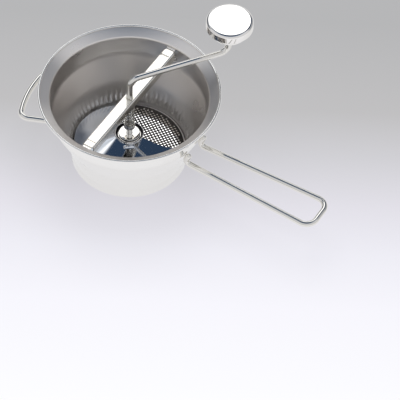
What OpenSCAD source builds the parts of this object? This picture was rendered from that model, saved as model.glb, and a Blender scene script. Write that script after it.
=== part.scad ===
// Hand-cranked food mill: a sheet steel bowl with a wire handle and a wire support loop, a perforated disc
// in its base, and a removable crossbar that carries the crank, the pressure spring and the press blade.
// Millimetres. The origin is on the bowl's axis at the plane it stands on, +Z is up and +X runs along the handle.

/* [Bowl] */
// Outer diameter over the rolled rim
rim_d = 210; // [200:1:250]
// Height of the rim above the table
bowl_h = 109; // [105:1:131]
// Thickness of the bowl's sheet
bowl_t = 1; // [0.8:0.1:1.2]
// Radius of the rolled bead on the rim
bead_r = 1.6; // [1.2:0.1:2]
// Width of the sloping flange, from the ridge to the rim
flange_w = 13; // [10:0.5:15]
// Drop of the flange, from the rim to the ridge
flange_drop = 9; // [7:0.5:11]
// How far the shoulder lies inside the ridge
shoulder_in = 1.4; // [0.5:0.1:3]
// Height of the shoulder, where the wall turns in
shoulder_z = 75; // [66:1:82]
// Outer diameter at the waist
waist_d = 151; // [146:1:158]
// Height of the waist
waist_z = 42; // [36:1:50]
// Outer diameter of the base collar
collar_d = 136; // [126:1:140]
// Height of the base collar
collar_h = 14; // [12:1:18]
// How far the seat flange in the base turns in
seat_w = 7; // [5:0.5:9]

/* [Grip ribs] */
// Number of ribs pressed into the wall above the disc
rib_count = 72; // [36:1:80]
// Width of a rib
rib_w = 3.2; // [2:0.1:4]
// How far a rib stands into the bowl
rib_out = 1.1; // [0.6:0.1:1.3]
// Height of a rib's lower end
rib_z = 18; // [17:0.5:22]
// Length of a rib
rib_l = 10; // [6:0.5:14]

/* [Sieve] */
// Height of the disc's upper face
sieve_z = 12.5; // [8:0.5:14]
// Thickness of the perforated plate
sieve_t = 0.8; // [0.6:0.1:1.2]
// Clearance between the disc's skirt and the collar
sieve_gap = 0.7; // [0.4:0.1:1.2]
// Width of the ring's shoulder outside the plate
ring_w = 1.9; // [1.5:0.1:3]
// Diameter of a hole
hole_d = 2.2; // [1.5:0.1:2.6]
// Distance between holes
hole_pitch = 3.55; // [3:0.05:6]
// Blank margin outside the holes
hole_margin = 3.4; // [3:0.1:8]
// Angle between the rows of holes and the handle
hole_turn = 56; // [0:1:90]
// Outer diameter of the centre bush's flanges
bush_d = 14; // [12:0.5:18]

/* [Handle and support loop] */
// Diameter of the wire
wire_d = 7; // [5:0.5:8]
// Height of the wires' plane
handle_z = 54; // [48:1:58]
// Distance from the bowl's axis to the handle's end
handle_reach = 257; // [220:1:310]
// Distance between the handle's wires at the bowl
handle_root = 30.4; // [26:0.2:40]
// Distance between the handle's wires at the end
handle_end = 42.4; // [36:0.2:52]
// Bend radius at the handle's end corners
handle_bend = 13; // [10:0.5:17]
// Distance from the bowl's axis to the loop's outer edge
loop_reach = 130; // [122:1:156]
// Distance between the loop's outer corners
loop_w = 123; // [100:1:136]
// Distance between the loop's wires at the bowl
loop_root = 90; // [80:1:100]
// Half of the angle that the loop's outer arc covers
loop_arc = 25; // [18:0.5:27]
// Bend radius at the loop's corners
loop_bend = 10; // [8:0.5:12]
// Length of wire turned up along the wall and welded
stub_l = 14; // [12:0.5:18]
// Bend radius of the wire where it turns up
stub_bend = 6; // [5:0.5:7]

/* [Crossbar] */
// Height of the bar's upper face
bar_z = 98; // [94:0.5:99]
// Width of the bar
bar_w = 15; // [14:0.5:20]
// Depth of the bar's side flanges
bar_h = 10.5; // [9:0.5:13]
// Thickness of the bar's sheet
bar_t = 1.2; // [1:0.1:1.4]
// Clearance between the end of the bar and the wall
bar_gap = 4; // [3:0.5:6]
// How far a hooking tab stands out of the bar
tab_out = 3; // [2:0.1:3.4]
// Width of a tab
tab_w = 10; // [9:0.5:11]
// Length of a tab's raised pad
pad_l = 7.2; // [6:0.1:9]
// Travel of the sprung tab
latch_travel = 3; // [2:0.1:3.2]

/* [Crank] */
// Diameter of the rod
rod_d = 7.2; // [6:0.2:8]
// Height of the arm's centre line above the bar
arm_rise = 29.6; // [26:0.2:40]
// Distance from the shaft to the knob's axis
arm_l = 122; // [100:1:140]
// Angle between the arm and the handle
arm_turn = 54.6; // [40:0.2:70]
// Bend radius of the rod
rod_bend = 11; // [9:0.5:13]
// Running clearance round the rod
run_gap = 0.1; // [0.05:0.01:0.1]

/* [Knob] */
// Diameter of the knob
knob_d = 54; // [50:1:60]
// Height of the knob's widest circle above the arm
knob_rise = 44.4; // [42:0.2:52]
// Depth of the knob's underside below its widest circle
knob_depth = 27; // [24:0.5:29]
// Height of the cap above the widest circle
cap_h = 7; // [6:0.5:9]
// Height of the cap's rolled side below the widest circle
cap_skirt = 3.5; // [2:0.1:5]
// Drop from the crown of the cap to its rolled side
cap_drop = 3.2; // [2:0.1:3.6]
// Thickness of the knob's shells
knob_t = 0.8; // [0.6:0.1:1]
// Diameter of the stem inside the knob
stem_d = 6; // [5:0.2:6]

/* [Press blade] */
// Clearance between the blade and the ribs in the wall
blade_gap = 3; // [2:0.1:4]
// Thickness of the blade
blade_t = 1.2; // [1:0.1:1.5]
// Angle that the blade covers
blade_span = 245; // [200:5:260]
// Angle between the pressing edge and the handle
blade_turn = 137.6; // [120:0.2:150]
// Rise of the outer edge above the pressing edge
outer_rise = 16.5; // [10:0.5:20]
// Rise of the inner edge above the disc
inner_rise = 22; // [18:0.5:26]
// Running gap between the pressing edge and the disc
press_gap = 0.6; // [0.4:0.1:1]
// Height of the stiffening bead
bead_h = 1.6; // [1:0.1:2.5]
// Width of the stiffening bead
bead_w = 5; // [4:0.5:8]
// Diameter of the dome over the hub
dome_d = 26.4; // [24:0.2:30]
// Height of the dome
dome_h = 7; // [5:0.5:9]

/* [Pressure spring] */
// Outer diameter of the spring
spring_d = 12; // [11.4:0.2:13]
// Diameter of the spring's wire
spring_wire = 1.4; // [1:0.1:1.6]
// Number of turns
spring_turns = 9; // [6:1:11]
// Height of the spring's seat above the disc
seat_rise = 42; // [38:0.5:46]

/* [Hidden] */
$fn = 48;

// Clearances between pieces that rest on each other or are pressed together
seat_gap = 0.2;
fit_gap = 0.05;
cut = 1; // how far a cutter reaches past what it cuts

// Bowl
rim_r = rim_d / 2;
collar_r = collar_d / 2;
outlet_r = collar_r - seat_w;
ridge_r = rim_r - flange_w;
ridge_z = bowl_h - flange_drop;
shoulder_r = ridge_r - shoulder_in;
bead = [rim_r - bead_r, bowl_h - bead_r];
flange_up = unit(bead - [ridge_r, ridge_z]);
wall_turns = [[outlet_r, 0], [collar_r, 0], [collar_r, collar_h], [waist_d / 2, waist_z],
    [shoulder_r, shoulder_z], [ridge_r, ridge_z], bead - bowl_t / 2 * [-flange_up.y, flange_up.x]];
wall_bends = [2, 14, 60, 24, 2.5];
wall = rounded(wall_turns, wall_bends);

// Handle and support loop
weld_gap = 0.6;

// Sieve
sieve_r = collar_r - bowl_t - sieve_gap;
plate_r = sieve_r - ring_w;
bush_lip = 2.4; // width of the centre bush's flanges
flange_t = 1; // thickness of a bush's flange
skirt_t = 0.9;
rebate_w = 1.6; // width of the step in the ring that the plate lies on

// Crossbar
bar_half = shoulder_r - bowl_t - bar_gap;
bar_under = bar_z - bar_t;
tab_t = 1;
tab_z = bar_under - seat_gap - tab_t;
tab_x = (tab_w - bar_w) / 2 + bar_t + 3 * seat_gap;
notch_hook = pad_l + 1;
notch_latch = pad_l + latch_travel + 2 * seat_gap;
latch_in = 36;
latch_spring_d = 4;
latch_spring_l = 14;
latch_wire = 0.6;
latch_turns = 8;
latch_spring_z = bar_under - seat_gap - latch_spring_d / 2;
lug_w = 6;
lug_h = 6;
rivet_d = 3;
rivet_head = 5;
rivet_head_h = 0.9;
rivet_y = [bar_half - 22, bar_half - 30];
ledge_top = bar_z - bar_h - seat_gap;
ledge_h = 7;
ledge_w = 2; // how far the bar reaches onto a ledge
ledge_lip = 1.5;

// Crank, from the shaft's tip up
rod_r = rod_d / 2;
tip_r = rod_r - 0.8;
tip_z = sieve_z - 3;
neck_z = sieve_z + flange_t + seat_gap + 1;
arm_z = bar_z + arm_rise;
ear_r = rod_r + 2;
ear_t = 2.6;
ear_h = 4;
shaft_bush_r = rod_r + 1.3;
shaft_flange_r = shaft_bush_r + 0.6;
spring_top = bar_under - flange_t - 2 * seat_gap;
spring_seat = sieve_z + seat_rise;
washer_t = 1.2;
cup_top = spring_seat - washer_t - 2 * seat_gap;
cup_h = 5;
cup_r = spring_d / 2 + 0.4;
pin_r = 1.5;

// Hub
hub_z = sieve_z + inner_rise - 1.4;
hub_t = 0.9;
hub_r = 6;
sleeve_low = hub_z - 9;
sleeve_pin_z = hub_z - 5;
sleeve_top = hub_z + hub_t + 2;
dome_r = dome_d / 2;
dome_t = 1.2;
collar_w = 3.4;
collar_in = dome_r + seat_gap;
hub_collar_h = 3.4;
blade_in = collar_in + collar_w + seat_gap;
blade_out = wall_r(rib_z) - bowl_t - rib_out - blade_gap;
bead_turn = 205;

// Knob
knob_r = knob_d / 2;
knob_z = arm_z + knob_rise;
knob_low = knob_z - knob_depth;
knob_at = [arm_l * cos(arm_turn), arm_l * sin(arm_turn), 0];
stem_r = stem_d / 2;
neck_r = stem_r + 3.6;
clip_z = knob_z - 5;
clip_t = 1;
clip_groove = 0.7;
clip_mouth = 2.4;
stem_top = clip_z + clip_t + 2;

// Vector of length 1 along v
function unit(v) = v / norm(v);

// Arc of the given radius in the corner p between a and b
function corner(a, p, b, radius, steps = 6) =
    let (u = unit(a - p), v = unit(b - p), half = acos(u * v) / 2,
        centre = p + unit(u + v) * radius / sin(half),
        first = p + u * radius / tan(half) - centre, last = p + v * radius / tan(half) - centre,
        start = atan2(first.y, first.x), swing = atan2(last.y, last.x) - start,
        angle = swing > 180 ? swing - 360 : swing < -180 ? swing + 360 : swing)
    [for (i = [0:steps]) centre + radius * [cos(start + angle * i / steps), sin(start + angle * i / steps)]];

// Outline with its inner points rounded to the given radii
function rounded(points, radii) = [points[0],
    for (i = [1:len(points) - 2]) each corner(points[i - 1], points[i], points[i + 1], radii[i - 1]),
    points[len(points) - 1]];

// Outline moved by d to its left-hand side
function moved(path, d) = [for (i = [0:len(path) - 1])
    let (u = unit(path[max(i, 1)] - path[max(i, 1) - 1]),
        v = unit(path[min(i + 1, len(path) - 1)] - path[min(i, len(path) - 2)]),
        side = unit([-u.y - v.y, u.x + v.x]))
    path[i] + side * d / (side * [-u.y, u.x])];

// Closed outline of a sheet of thickness t on the left-hand side of a path
function sheet(path, t) = let (other = moved(path, t))
    concat(path, [for (i = [len(other) - 1:-1:0]) other[i]]);

// Outer radius of the bowl's wall at height z
function wall_r(z) = lookup(z, [for (p = wall) if (p.y > 0) [p.y, p.x]]);

// Angle that a path turns at its point i, and the straight length that a bend there takes on each side
function turn(path, i) = acos(unit(path[i] - path[i - 1]) * unit(path[i + 1] - path[i]));
function reach(path, bends, i) = bends[i - 1] * tan(turn(path, i) / 2);

// Points along a path whose inner corners are bent to the given radii, a point for every few degrees of bend
function bent(path, bends, step = 9) = [path[0],
    for (i = [1:len(path) - 2])
        let (along = unit(path[i] - path[i - 1]), angle = turn(path, i), n = ceil(angle / step),
            inward = cross(unit(cross(along, path[i + 1] - path[i])), along),
            centre = path[i] - reach(path, bends, i) * along + bends[i - 1] * inward)
        for (k = [0:n]) centre + bends[i - 1] * (sin(angle * k / n) * along - cos(angle * k / n) * inward),
    path[len(path) - 1]];

// Direction of a row of points at its point i
function heading(row, i) = unit(row[min(i + 1, len(row) - 1)] - row[max(i - 1, 0)]);

// Round wire with domed ends along a path whose inner corners are bent to the given radii
module wire(path, bends, d, sides = 16) {
    row = bent(path, bends);
    last = len(row) - 1;
    dome = [80, 50, 25];
    starts = [for (a = dome) row[0] - d / 2 * sin(a) * heading(row, 0)];
    ends = [for (i = [len(dome) - 1:-1:0]) row[last] + d / 2 * sin(dome[i]) * heading(row, last)];
    points = concat(starts, row, ends);
    radii = d / 2 * concat([for (a = dome) cos(a)], [for (p = row) 1], [for (i = [len(dome) - 1:-1:0]) cos(dome[i])]);
    sideways = [for (i = 0, t = heading(points, 0), s = unit(cross(t, cross(t, points[len(points) / 2] - points[0])));
        i < len(points); i = i + 1, t = heading(points, min(i, len(points) - 1)), s = unit(s - (s * t) * t)) s];
    loft([for (i = [0:len(points) - 1]) let (s = sideways[i], c = cross(heading(points, i), s))
        [for (k = [0:sides - 1]) let (b = -360 * k / sides) points[i] + radii[i] * (cos(b) * s + sin(b) * c)]]);
}

// Solid between rings of points that all have the same even count; a cap joins each point to the one opposite
module loft(rings) {
    n = len(rings[0]);
    last = len(rings) - 1;
    polyhedron(
        points = [for (ring = rings) each ring],
        faces = [for (k = [0:n / 2 - 2], f = [0, last * n]) let (a = f + k, b = f + k + 1, c = f + n - 2 - k, d = f + n - 1 - k)
                each f == 0 ? [[b, a, d], [b, d, c]] : [[a, b, d], [b, c, d]],
            for (i = [0:last - 1], k = [0:n - 1]) let (a = i * n + k, b = i * n + (k + 1) % n)
                each [[a, b, a + n], [b, b + n, a + n]]],
        convexity = 12);
}

// Coil spring of outer diameter d and height h about the Z axis, its end turns closed up
module coil(d, wire, h, turns, sides, steps) {
    radius = (d - wire) / 2;
    function climb(s) = let (f = s / turns)
        wire / 2 + (h - wire) * (f < 0.12 ? f * 0.45 : f > 0.88 ? 1 - (1 - f) * 0.45 :
            0.054 + (f - 0.12) * (1 - 0.108) / 0.76);
    loft([for (i = [0:turns * steps]) let (a = 360 * i / steps) [for (k = [0:sides - 1])
        let (b = -360 * k / sides, r = radius + wire / 2 * cos(b))
        [r * cos(a), r * sin(a), climb(i / steps) + wire / 2 * sin(b)]]]);
}

// Point on the outside of the wall at height z, d away from it, in the direction of the angle az
function on_wall(z, d, az) = let (r = wall_r(z) + d) [r * cos(az), r * sin(az), z];

// Wire end turned up along the wall, from its top to the corner where it leaves the wall at y
function stub(y, side) = let (out = wire_d / 2 + seat_gap,
        az = side * asin(y / (wall_r(handle_z) + out)) + (side < 0 ? 180 : 0))
    [on_wall(handle_z + stub_l, out + weld_gap, az), on_wall(handle_z, out + weld_gap, az)];

module bowl_shell() {
    color("silver") difference() {
        union() {
            rotate_extrude() polygon(sheet(wall, bowl_t));
            rotate_extrude() translate(bead) circle(bead_r);
            for (side = [0, 180]) rotate(side) bar_ledge();
            for (i = [0:rib_count - 1]) rotate(360 * i / rib_count) rib();
        }
        for (side = [-1, 1]) tab_slot(side);
    }
}

// Half-round rib with domed ends, pressed in from the wall, its back in the middle of the sheet
module rib() {
    r = rib_w / 2;
    foot = [wall_r(rib_z), 0, rib_z];
    lean = atan((wall_r(rib_z + rib_l) - foot.x) / rib_l);
    half = rounded([[0, 0], [r, 0], [r, rib_l / 2]], [r * 0.98]);
    profile = concat(half, [for (i = [len(half) - 1:-1:0]) [half[i].x, rib_l - half[i].y]]);
    translate(foot) rotate([0, lean, 0]) translate([r - rib_out - bowl_t, 0, 0])
        rotate(90) rotate_extrude(angle = 180) polygon(profile);
}

// Ledge pressed into the wall, on which one end of the crossbar rests
module bar_ledge() {
    inner = bar_half - ledge_w;
    outer = wall_r(ledge_top) - bowl_t / 2;
    translate([-bar_w / 2, 0, 0]) rotate([90, 0, 90]) linear_extrude(bar_w)
        polygon([[inner, ledge_top], [inner, ledge_top - ledge_lip],
            [wall_r(ledge_top - ledge_h) - bowl_t / 2, ledge_top - ledge_h], [outer, ledge_top]]);
}

// Slot in the wall opposite the end of a tab
module tab_slot(side) {
    translate([tab_x - tab_w / 2, side > 0 ? bar_half : -rim_r, tab_z - 2 * seat_gap])
        cube([tab_w, rim_r - bar_half, bar_z - tab_z + 3 * seat_gap]);
}

module long_handle() {
    out = handle_reach - wire_d / 2;
    a = stub(handle_root / 2, 1);
    b = stub(-handle_root / 2, 1);
    color("gainsboro") wire(
        [a[0], a[1], [out, handle_end / 2, handle_z], [out, -handle_end / 2, handle_z], b[1], b[0]],
        [stub_bend, handle_bend, handle_bend, stub_bend], wire_d);
}

module support_loop() {
    arc_r = loop_reach - wire_d / 2;
    apex = [-arc_r / cos(loop_arc), 0, handle_z];
    shift = loop_w / 2 * [tan(loop_arc), 1, 0];
    a = stub(loop_root / 2, -1);
    b = stub(-loop_root / 2, -1);
    color("gainsboro") wire([b[0], b[1], apex + [shift.x, -shift.y, 0], apex, apex + shift, a[1], a[0]],
        [stub_bend, loop_bend, arc_r, loop_bend, stub_bend], wire_d);
}

module sieve_plate() {
    reach_r = plate_r - hole_margin;
    n = ceil(reach_r / hole_pitch);
    color("darkgray") translate([0, 0, sieve_z - sieve_t]) rotate(hole_turn) linear_extrude(sieve_t) difference() {
        circle(plate_r - fit_gap);
        circle(bush_d / 2 - bush_lip);
        for (i = [-n:n], k = [-n:n])
            let (r = norm([i, k]) * hole_pitch)
            if (r < reach_r && r > bush_d / 2 + hole_d / 2 + 2 * seat_gap)
                translate([i, k] * hole_pitch) circle(d = hole_d, $fn = 16);
    }
}

// Ring with a rebate for the plate, a rounded shoulder and a skirt that stands on the bowl's seat
module sieve_ring() {
    ledge_z = sieve_z - sieve_t - fit_gap;
    color("silver") rotate_extrude() polygon(concat(
        [[plate_r - rebate_w, ledge_z - skirt_t], [sieve_r - skirt_t, ledge_z - skirt_t],
            [sieve_r - skirt_t, bowl_t + seat_gap], [sieve_r, bowl_t + seat_gap]],
        corner([sieve_r, bowl_t], [sieve_r, sieve_z], [plate_r, sieve_z], ring_w - seat_gap),
        [[plate_r, sieve_z], [plate_r, ledge_z], [plate_r - rebate_w, ledge_z]]));
}

// Bush in the middle of the plate that steadies the tip of the shaft
module sieve_bush() {
    body_r = bush_d / 2 - bush_lip - fit_gap;
    bore = tip_r + run_gap;
    low = sieve_z - sieve_t - fit_gap;
    color("gainsboro") rotate_extrude() polygon([[bore, low - flange_t], [bush_d / 2, low - flange_t],
        [bush_d / 2, low], [body_r, low], [body_r, sieve_z + fit_gap], [bush_d / 2, sieve_z + fit_gap],
        [bush_d / 2 - flange_t / 2, sieve_z + flange_t], [bore, sieve_z + flange_t]]);
}

// Inverted channel, cut open at each end for the tabs
module crossbar_channel() {
    side = bar_w / 2;
    section = sheet(rounded([[side, bar_z - bar_h], [side, bar_z], [-side, bar_z], [-side, bar_z - bar_h]],
        [2, 2]), bar_t);
    color("white") difference() {
        union() {
            translate([0, bar_half, 0]) rotate([90, 0, 0]) linear_extrude(2 * bar_half) polygon(section);
            translate([tab_x - lug_w / 2, bar_half - latch_in - latch_spring_l - bar_t, bar_under - lug_h])
                cube([lug_w, bar_t, lug_h]);
        }
        translate([0, 0, bar_under - cut]) cylinder(r = shaft_bush_r + fit_gap, h = bar_t + 2 * cut);
        end_notch(-bar_half - cut, notch_hook + cut);
        end_notch(bar_half - notch_latch, notch_latch + cut);
        for (y = rivet_y) translate([tab_x, y, bar_under - cut])
            cylinder(d = rivet_d + 2 * fit_gap, h = bar_t + 2 * cut);
        for (y = rivet_y) translate([tab_x, -y, bar_under - cut])
            cylinder(d = rivet_d + 2 * fit_gap, h = bar_t + 2 * cut);
    }
}

// Notch in the top of the bar that shows a tab
module end_notch(y, length) {
    translate([tab_x - tab_w / 2 - seat_gap, y, bar_under - cut])
        cube([tab_w + 2 * seat_gap, length, bar_t + 2 * cut]);
}

// Tab with a raised pad at its end; its tongue lies under the bar's top
module tab(length) {
    translate([tab_x - tab_w / 2, -length, tab_z]) cube([tab_w, length + tab_out, tab_t]);
    translate([tab_x - tab_w / 2, -pad_l, tab_z]) cube([tab_w, pad_l, bar_z - seat_gap / 2 - tab_z]);
}

module hook_plate() {
    color("whitesmoke") rotate(180) mirror([1, 0, 0]) translate([0, bar_half, 0]) difference() {
        tab(latch_in);
        for (y = rivet_y) translate([tab_x, y - bar_half, tab_z - cut])
            cylinder(d = rivet_d + 2 * fit_gap, h = tab_t + 2 * cut);
    }
}

// Sliding tab, with slots for the rivets that guide it and its inner end turned down for the spring
module latch_plate() {
    slot = rivet_d + 2 * seat_gap;
    color("whitesmoke") translate([0, bar_half, 0]) difference() {
        union() {
            tab(latch_in);
            translate([tab_x - lug_w / 2, -latch_in, bar_under - lug_h]) cube([lug_w, tab_t, lug_h - seat_gap]);
        }
        for (y = rivet_y) translate([tab_x, y - bar_half, tab_z - cut]) linear_extrude(tab_t + 2 * cut) {
            for (end = [0, latch_travel + seat_gap]) translate([0, end]) circle(d = slot);
            translate([-slot / 2, 0]) square([slot, latch_travel + seat_gap]);
        }
    }
}

module latch_spring() {
    color("gray") translate([tab_x, bar_half - latch_in - seat_gap, latch_spring_z]) rotate([90, 0, 0])
        coil(latch_spring_d, latch_wire, latch_spring_l - 2 * seat_gap, latch_turns, 6, 14);
}

// Rivets through the top of the bar, which fix one tab and guide the other
module bar_rivets() {
    color("lightgray") for (y = rivet_y, side = [-1, 1]) translate([tab_x, side * y, 0]) {
        translate([0, 0, tab_z - rivet_head_h]) cylinder(d = rivet_head, h = rivet_head_h - seat_gap / 2);
        translate([0, 0, tab_z - rivet_head_h]) cylinder(d = rivet_d, h = bar_z - fit_gap - tab_z + rivet_head_h);
    }
}

module shaft_bush() {
    bore = rod_r + run_gap;
    low = bar_under - fit_gap - flange_t;
    color("darkgray") rotate_extrude() polygon([[bore, low], [shaft_flange_r, low],
        [shaft_flange_r, low + flange_t], [shaft_bush_r, low + flange_t], [shaft_bush_r, bar_z], [bore, bar_z]]);
}

module pressure_spring() {
    color("gray") translate([0, 0, spring_seat]) coil(spring_d, spring_wire, spring_top - spring_seat,
        spring_turns, 8, 18);
}

module thrust_washer() {
    color("lightgray") translate([0, 0, spring_seat - seat_gap - washer_t]) difference() {
        cylinder(r = cup_r, h = washer_t);
        translate([0, 0, -cut]) cylinder(r = rod_r + 2 * run_gap, h = washer_t + 2 * cut);
    }
}

module spring_cup() {
    color("silver") difference() {
        translate([0, 0, cup_top - cup_h]) cylinder(r = cup_r, h = cup_h);
        translate([0, 0, cup_top - cup_h - cut]) cylinder(r = rod_r + fit_gap, h = cup_h + 2 * cut);
        cross_hole(cup_top - cup_h / 2, cup_r);
    }
}

// Hole along X for a drive pin
module cross_hole(z, r) {
    translate([-r - cut, 0, z]) rotate([0, 90, 0]) cylinder(r = pin_r + fit_gap, h = 2 * (r + cut));
}

// Drive pin along X in a piece of radius r
module drive_pin(z, r) {
    translate([seat_gap - r, 0, z]) rotate([0, 90, 0]) cylinder(r = pin_r, h = 2 * (r - seat_gap));
}

module drive_pins() {
    color("lightgray") {
        drive_pin(cup_top - cup_h / 2, cup_r);
        drive_pin(sleeve_pin_z, hub_r);
    }
}

// Quarter bend of the rod round the point at, from the given angle on, in the plane of X and Z
module elbow(at, from) {
    translate(at) rotate([90, 0, 0]) rotate(from) rotate_extrude(angle = 90)
        translate([rod_bend, 0]) circle(d = rod_d);
}

// One bent rod: shaft, arm and the stem that the knob turns on
module crank_rod() {
    stem_low = knob_low - seat_gap;
    color("gainsboro") difference() {
        rotate(arm_turn) {
            translate([0, 0, tip_z]) cylinder(r = tip_r, h = neck_z - tip_z);
            translate([0, 0, neck_z]) cylinder(d = rod_d, h = arm_z - rod_bend - neck_z);
            elbow([rod_bend, 0, arm_z - rod_bend], 90);
            translate([rod_bend, 0, arm_z]) rotate([0, 90, 0]) cylinder(d = rod_d, h = arm_l - 2 * rod_bend);
            elbow([arm_l - rod_bend, 0, arm_z + rod_bend], 270);
            translate([arm_l, 0, arm_z + rod_bend]) cylinder(d = rod_d, h = stem_low - arm_z - rod_bend);
            translate([arm_l, 0, stem_low]) cylinder(r = stem_r, h = stem_top - stem_low);
            intersection() {
                translate([0, 0, bar_z + seat_gap]) cylinder(r = ear_r, h = ear_h);
                translate([-ear_t / 2, -ear_r, bar_z]) cube([ear_t, 2 * ear_r, 2 * ear_h]);
            }
        }
        cross_hole(cup_top - cup_h / 2, rod_r);
        cross_hole(sleeve_pin_z, rod_r);
        translate(knob_at + [0, 0, clip_z]) difference() {
            cylinder(r = stem_r + cut, h = clip_t);
            translate([0, 0, -cut]) cylinder(r = stem_r - clip_groove, h = clip_t + 2 * cut);
        }
    }
}

// Flanged sleeve pinned to the shaft, which carries the collar and the dome
module hub_sleeve() {
    bore = rod_r + fit_gap;
    color("silver") difference() {
        rotate_extrude() polygon([[bore, sleeve_low], [hub_r, sleeve_low], [hub_r, hub_z],
            [collar_in + collar_w - seat_gap, hub_z], [collar_in + collar_w - seat_gap, hub_z + hub_t],
            [hub_r, hub_z + hub_t], [hub_r, sleeve_top], [bore, sleeve_top]]);
        cross_hole(sleeve_pin_z, hub_r);
    }
}

module hub_dome() {
    low = hub_z + hub_t + fit_gap;
    outline = rounded([[dome_r, low], [dome_r, low + 2.2], [dome_r - 5, low + dome_h],
        [rod_r + fit_gap, low + dome_h]], [1.8, 8]);
    color("white") rotate_extrude() polygon(sheet(outline, dome_t));
}

module hub_collar() {
    low = hub_z + hub_t + fit_gap;
    color("whitesmoke") rotate_extrude() polygon(concat(
        [[collar_in, low], [collar_in + collar_w, low]],
        corner([collar_in + collar_w, low], [collar_in + collar_w, low + hub_collar_h],
            [collar_in, low + hub_collar_h], 1.6),
        corner([collar_in + collar_w, low + hub_collar_h], [collar_in, low + hub_collar_h],
            [collar_in, low], 0.8)));
}

// Height of the blade's underside above the disc at angle a from the pressing edge and at radius r
function blade_z(a, r) = let (f = (r - blade_in) / (blade_out - blade_in),
        outer = press_gap + outer_rise * sin(90 * a / 170),
        inner = press_gap + (inner_rise - press_gap) * sin(90 * min(a, 100) / 100),
        off = r * sin(a - bead_turn), along = min(1, max(0, (r - blade_in - 4) / 8), max(0, (blade_out - 3 - r) / 8)))
    inner + (outer - inner) * f
        + (abs(off) < bead_w / 2 && abs(a - bead_turn) < 45 ? bead_h * along * (1 + cos(360 * off / bead_w)) / 2 : 0);

// Spiral blade: a sheet that climbs from its pressing edge on the disc to the mouth that takes food in
module press_blade() {
    stations = 10;
    fine = [for (d = [-5:1:5]) bead_turn + d];
    angles = concat([for (a = [0:3.5:bead_turn - 6]) a], fine, [for (a = [bead_turn + 7:3.5:blade_span - 2]) a],
        [blade_span]);
    function row(a, top) = [for (k = [0:stations]) let (r = blade_in + (blade_out - blade_in) * k / stations)
        [r * cos(a), r * sin(a), sieve_z + blade_z(a, r) + (top ? blade_t : 0)]];
    color("steelblue") rotate(blade_turn)
        loft([for (a = angles) concat(row(a, false), [for (k = [stations:-1:0]) row(a, true)[k]])]);
}

module knob_cap() {
    outline = rounded([[knob_r, -cap_skirt], [knob_r, cap_h - cap_drop], [knob_r * 0.78, cap_h], [0, cap_h]],
        [3, 18]);
    color("white") translate(knob_at + [0, 0, knob_z]) rotate_extrude() polygon(sheet(outline, knob_t));
}

// Underside of the knob, which carries the cap and turns on the stem with the bush
module knob_base() {
    inner_r = knob_r - knob_t - seat_gap;
    outline = rounded([[neck_r, -knob_depth], [knob_r * 0.74, -knob_depth * 0.53], [inner_r, -3], [inner_r, 0]],
        [40, 6]);
    color("silver") translate(knob_at + [0, 0, knob_z]) rotate_extrude() polygon(sheet(outline, knob_t));
}

module knob_bush() {
    bore = stem_r + run_gap;
    top = clip_z - seat_gap - knob_z;
    color("dimgray") translate(knob_at + [0, 0, knob_z]) rotate_extrude() polygon([[bore, -knob_depth],
        [neck_r - knob_t - 2 * seat_gap, -knob_depth], [neck_r - knob_t - 2 * seat_gap, top], [bore, top]]);
}

module knob_clip() {
    color("lightgray") translate(knob_at + [0, 0, clip_z + fit_gap]) difference() {
        cylinder(r = stem_r + 2, h = clip_t - 2 * fit_gap);
        translate([0, 0, -cut]) cylinder(r = stem_r - clip_groove + fit_gap, h = clip_t + 2 * cut);
        translate([0, -clip_mouth / 2, -cut]) cube([stem_r + 3, clip_mouth, clip_t + 2 * cut]);
    }
}

bowl_shell();
long_handle();
support_loop();
sieve_plate();
sieve_ring();
sieve_bush();
crossbar_channel();
hook_plate();
latch_plate();
latch_spring();
bar_rivets();
shaft_bush();
pressure_spring();
thrust_washer();
spring_cup();
drive_pins();
crank_rod();
hub_sleeve();
hub_dome();
hub_collar();
press_blade();
knob_cap();
knob_base();
knob_bush();
knob_clip();
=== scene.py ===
"""A hand-cranked food mill in polished and satin stainless steel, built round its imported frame."""

import math

import bmesh
import bpy
from mathutils import Matrix, Vector


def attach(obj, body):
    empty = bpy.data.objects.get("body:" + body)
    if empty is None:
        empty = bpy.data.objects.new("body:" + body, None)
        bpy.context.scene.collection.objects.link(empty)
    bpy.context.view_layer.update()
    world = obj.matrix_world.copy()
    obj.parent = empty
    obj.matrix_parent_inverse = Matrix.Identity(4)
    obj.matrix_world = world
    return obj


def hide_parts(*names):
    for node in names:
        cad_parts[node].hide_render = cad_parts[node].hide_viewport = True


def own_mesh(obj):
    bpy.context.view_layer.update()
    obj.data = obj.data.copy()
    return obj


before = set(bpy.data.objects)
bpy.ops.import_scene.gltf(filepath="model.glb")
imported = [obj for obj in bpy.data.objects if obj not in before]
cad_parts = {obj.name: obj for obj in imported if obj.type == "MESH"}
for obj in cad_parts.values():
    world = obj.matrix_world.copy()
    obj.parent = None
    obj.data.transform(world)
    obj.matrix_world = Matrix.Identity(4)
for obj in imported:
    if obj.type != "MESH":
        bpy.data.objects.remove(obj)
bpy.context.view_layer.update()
MM = 0.001

# ---- Camera ----
# A long lens that stands well back and looks down into the bowl. Its place is worked out from the middle of
# the rim: how far off it stands, how far it looks down, which way it looks and how it is rolled.
RIM_HEIGHT = 109
CAMERA_DISTANCE = 2625
LOOK_DOWN = math.radians(50.99)
LOOK_ALONG = math.radians(119.7)
ROLL = math.radians(2.37)
RIM_RIGHT = -80.2
RIM_UP = 124.0
LENS = 207.5

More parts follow.
